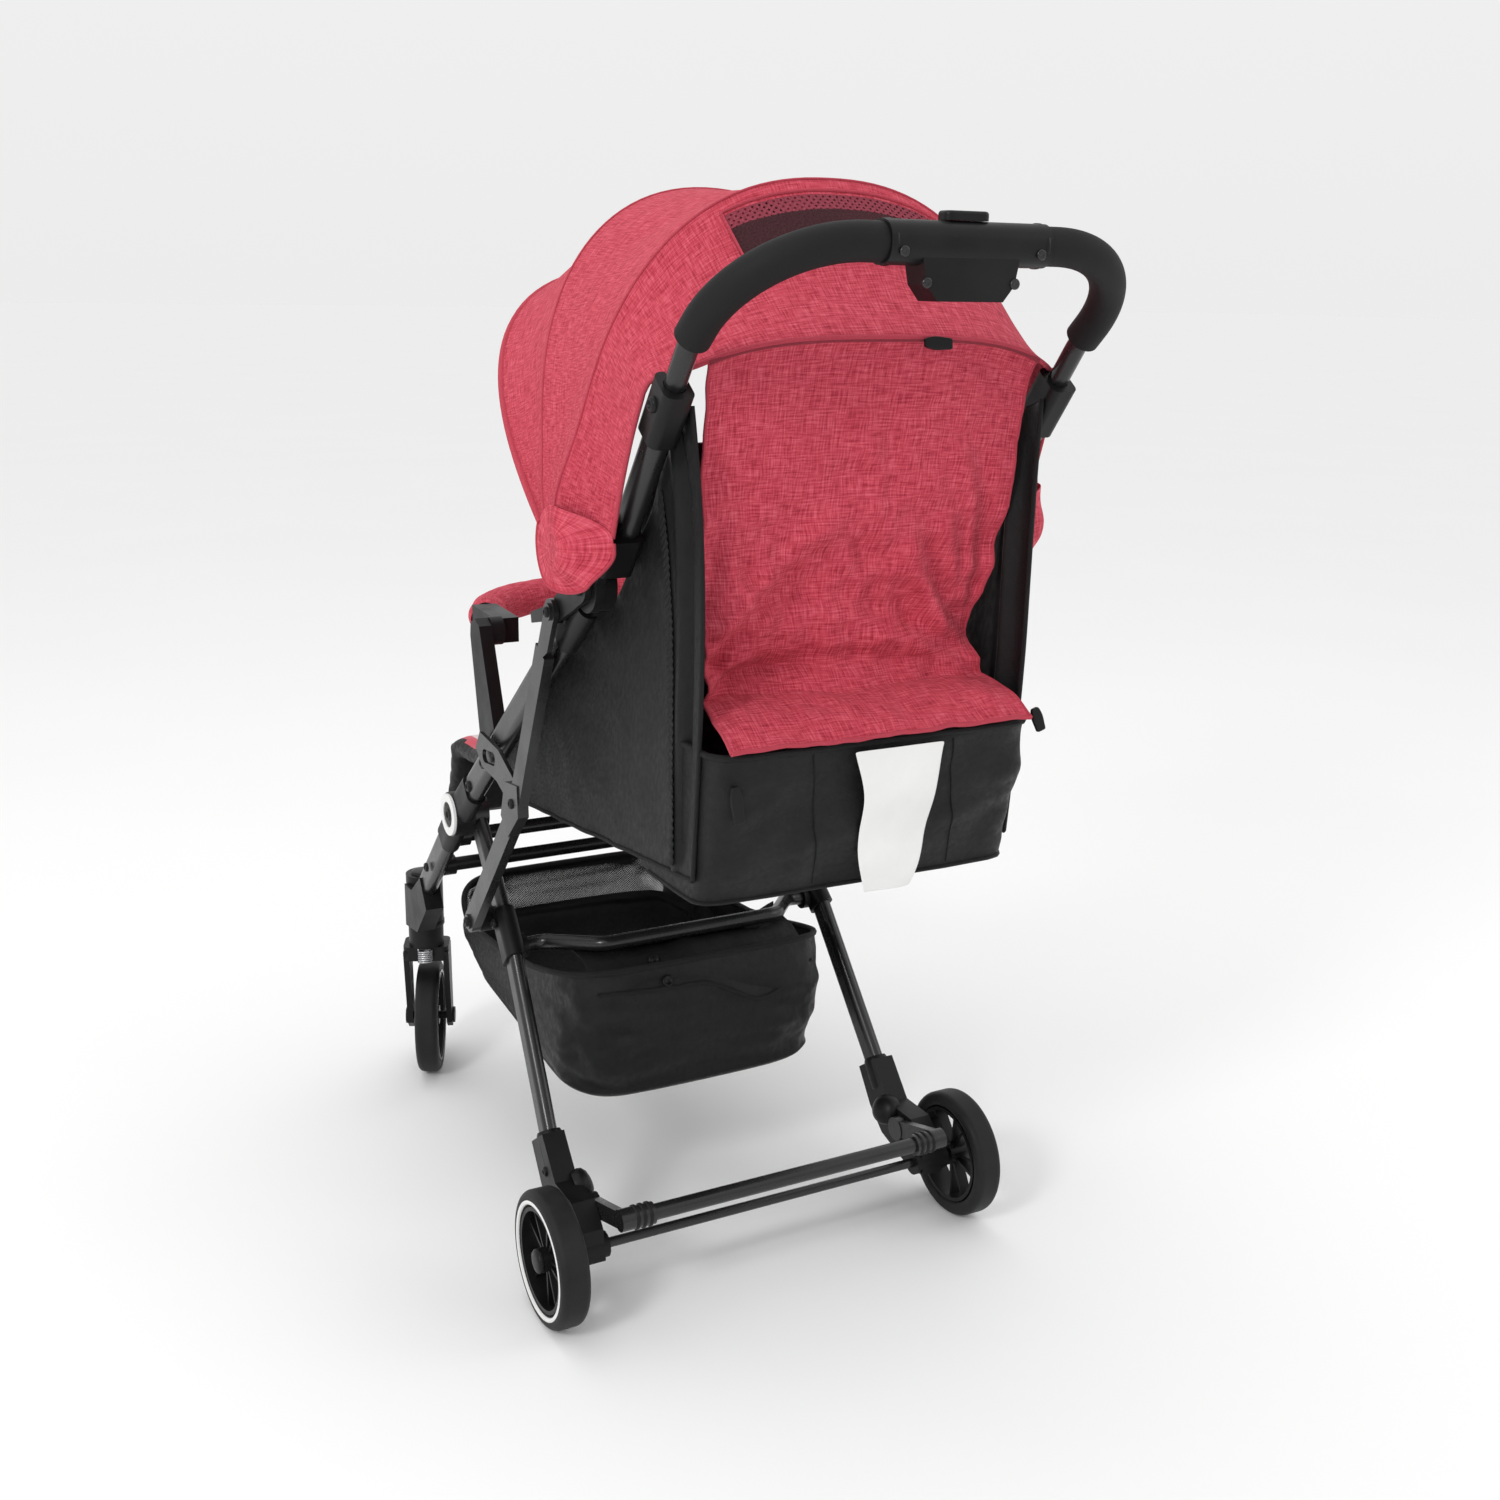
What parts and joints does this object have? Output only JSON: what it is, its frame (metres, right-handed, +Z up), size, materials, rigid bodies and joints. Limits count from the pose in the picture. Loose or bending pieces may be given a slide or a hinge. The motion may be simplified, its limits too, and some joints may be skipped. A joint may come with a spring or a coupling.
{
  "type": "baby stroller",
  "caption": "Folding stroller frame with sun canopy, reclining seat, bumper bar, storage basket, swivel front casters and braked rear wheels.",
  "frame": {"origin": "middle of the footprint, on the floor", "axes": "+Z up, the child faces -Y, +X is the child's left"},
  "size_m": [0.506, 0.9509, 1.073],
  "materials": {
    "frame_paint": "satin powder coat",
    "bright_metal": "brushed",
    "black_plastic": "fine moulded texture",
    "white_plastic": "satin",
    "foam": "matte foam",
    "tyre": "matte foam rubber",
    "red_fabric": "melange plain weave",
    "black_fabric": "woven nylon"
  },
  "bodies": {
    "front_frame": {"front_tube_left": "frame_paint", "front_tube_right": "frame_paint", "front_leg_left": "frame_paint", "front_leg_right": "frame_paint", "knuckle_left": "black_plastic", "knuckle_right": "black_plastic", "knuckle_rings": "white_plastic", "hinge_housings": "black_plastic", "front_cross_tube": "frame_paint", "lower_cross_tube": "frame_paint", "bumper_brackets": "black_plastic", "caster_housing_left": "black_plastic", "caster_housing_right": "black_plastic", "seat_base": "black_fabric", "seat_box": "black_fabric", "rear_flap": "red_fabric", "side_panel_left": "black_fabric", "side_panel_right": "black_fabric", "basket": "black_fabric"},
    "handle_frame": {"handle_sleeve_left": "frame_paint", "handle_sleeve_right": "frame_paint", "hinge_arm_left": "black_plastic", "hinge_arm_right": "black_plastic", "handle_collars": "black_plastic", "canopy_mounts": "black_plastic", "canopy_rear_panel": "red_fabric", "handle_tube": "frame_paint", "handle_grip_left": "foam", "handle_grip_right": "foam", "handle_cover": "black_plastic"},
    "fold_button": {"fold_button": "black_plastic"},
    "push_rods": {"push_rod_left": "frame_paint", "push_rod_right": "frame_paint"},
    "rear_frame": {"rear_leg_left": "frame_paint", "rear_leg_right": "frame_paint", "leg_clips": "black_plastic", "wheel_bracket_left": "black_plastic", "wheel_bracket_right": "black_plastic", "rear_cross_tube": "frame_paint", "rear_axle": "frame_paint"},
    "brake": {"brake_bar": "frame_paint"},
    "rear_wheel_left": {"rear_tyre_left": "tyre", "rear_rim_left": "black_plastic"},
    "rear_wheel_right": {"rear_tyre_right": "tyre", "rear_rim_right": "black_plastic"},
    "caster_left": {"caster_fork_left": "black_plastic"},
    "caster_right": {"caster_fork_right": "black_plastic"},
    "front_wheel_left": {"front_tyre_left": "tyre", "front_rim_left": "black_plastic"},
    "front_wheel_right": {"front_tyre_right": "tyre", "front_rim_right": "black_plastic"},
    "canopy_rear": {"canopy_bow_rear": "black_plastic", "canopy_middle_panel": "red_fabric"},
    "canopy_middle": {"canopy_bow_middle": "black_plastic", "canopy_front_panel": "red_fabric"},
    "canopy_front": {"canopy_bow_front": "black_plastic"},
    "backrest": {"backrest": "red_fabric"},
    "leg_rest": {"leg_rest": "red_fabric"},
    "bumper": {"bumper_bar": "red_fabric", "bumper_arms": "black_plastic"}
  },
  "joints": [
    {"name": "frame_fold", "type": "hinge", "parent": "front_frame", "child": "handle_frame", "pos_m": [0, 0.213, 0.731], "axis": [1, 0, 0], "range_deg": [-94, 0], "deforming": ["seat_base", "seat_box", "rear_flap", "side_panel_left", "side_panel_right", "basket"]},
    {"name": "fold_button_slide", "type": "slide", "parent": "handle_frame", "child": "fold_button", "axis": [1, 0, 0], "range_m": [-0.012, 0]},
    {"name": "push_rod_pivot", "type": "hinge", "parent": "handle_frame", "child": "push_rods", "pos_m": [0, 0.156, 0.699], "axis": [1, 0, 0], "range_deg": [-1, 96]},
    {"name": "rear_leg_fold", "type": "hinge", "parent": "front_frame", "child": "rear_frame", "pos_m": [0, -0.179, 0.412], "axis": [1, 0, 0], "range_deg": [-1, 44]},
    {"name": "brake_pedal", "type": "hinge", "parent": "rear_frame", "child": "brake", "pos_m": [0, 0.155, 0.095], "axis": [1, 0, 0], "range_deg": [-12, 0]},
    {"name": "rear_wheel_left_spin", "type": "hinge", "parent": "rear_frame", "child": "rear_wheel_left", "pos_m": [0.237, 0.185, 0.068], "axis": [1, 0, 0], "continuous": true},
    {"name": "rear_wheel_right_spin", "type": "hinge", "parent": "rear_frame", "child": "rear_wheel_right", "pos_m": [-0.237, 0.185, 0.068], "axis": [1, 0, 0], "continuous": true},
    {"name": "canopy_rear_fold", "type": "hinge", "parent": "handle_frame", "child": "canopy_rear", "pos_m": [0, 0.243, 0.769], "axis": [1, 0, 0], "range_deg": [-18, 0], "deforming": ["canopy_rear_panel", "canopy_middle_panel"]},
    {"name": "canopy_middle_fold", "type": "hinge", "parent": "canopy_rear", "child": "canopy_middle", "pos_m": [0, 0.243, 0.769], "axis": [1, 0, 0], "range_deg": [-30, 0], "deforming": ["canopy_middle_panel", "canopy_front_panel"]},
    {"name": "canopy_front_fold", "type": "hinge", "parent": "canopy_middle", "child": "canopy_front", "pos_m": [0, 0.243, 0.769], "axis": [1, 0, 0], "range_deg": [-10, 0], "deforming": ["canopy_front_panel"]},
    {"name": "backrest_recline", "type": "hinge", "parent": "front_frame", "child": "backrest", "pos_m": [0, 0.115, 0.505], "axis": [1, 0, 0], "range_deg": [-15, 0]},
    {"name": "leg_rest_tilt", "type": "hinge", "parent": "front_frame", "child": "leg_rest", "pos_m": [0, -0.137, 0.448], "axis": [1, 0, 0], "range_deg": [-10, 10]},
    {"name": "bumper_swing", "type": "hinge", "parent": "front_frame", "child": "bumper", "pos_m": [0, -0.09, 0.634], "axis": [1, 0, 0], "range_deg": [-80, 0]},
    {"name": "caster_swivel_left", "type": "hinge", "parent": "front_frame", "child": "caster_left", "pos_m": [0.176, -0.389, 0.18], "axis": [0, 0, 1], "continuous": true},
    {"name": "front_wheel_spin_left", "type": "hinge", "parent": "caster_left", "child": "front_wheel_left", "pos_m": [0.16819, -0.40741, 0.0715], "axis": [0.9205, -0.3907, 0], "continuous": true},
    {"name": "caster_swivel_right", "type": "hinge", "parent": "front_frame", "child": "caster_right", "pos_m": [-0.176, -0.389, 0.18], "axis": [0, 0, 1], "continuous": true},
    {"name": "front_wheel_spin_right", "type": "hinge", "parent": "caster_right", "child": "front_wheel_right", "pos_m": [-0.18381, -0.40741, 0.0715], "axis": [0.9205, -0.3907, 0], "continuous": true}
  ],
  "couplings": [
    {"joint": "rear_leg_fold", "follows": "frame_fold", "ratio": -0.454},
    {"joint": "push_rod_pivot", "follows": "frame_fold", "ratio": -1.01},
    {"joint": "canopy_rear_fold", "follows": "canopy_middle_fold", "ratio": 0.6},
    {"joint": "canopy_front_fold", "follows": "canopy_middle_fold", "ratio": 0.33}
  ]
}
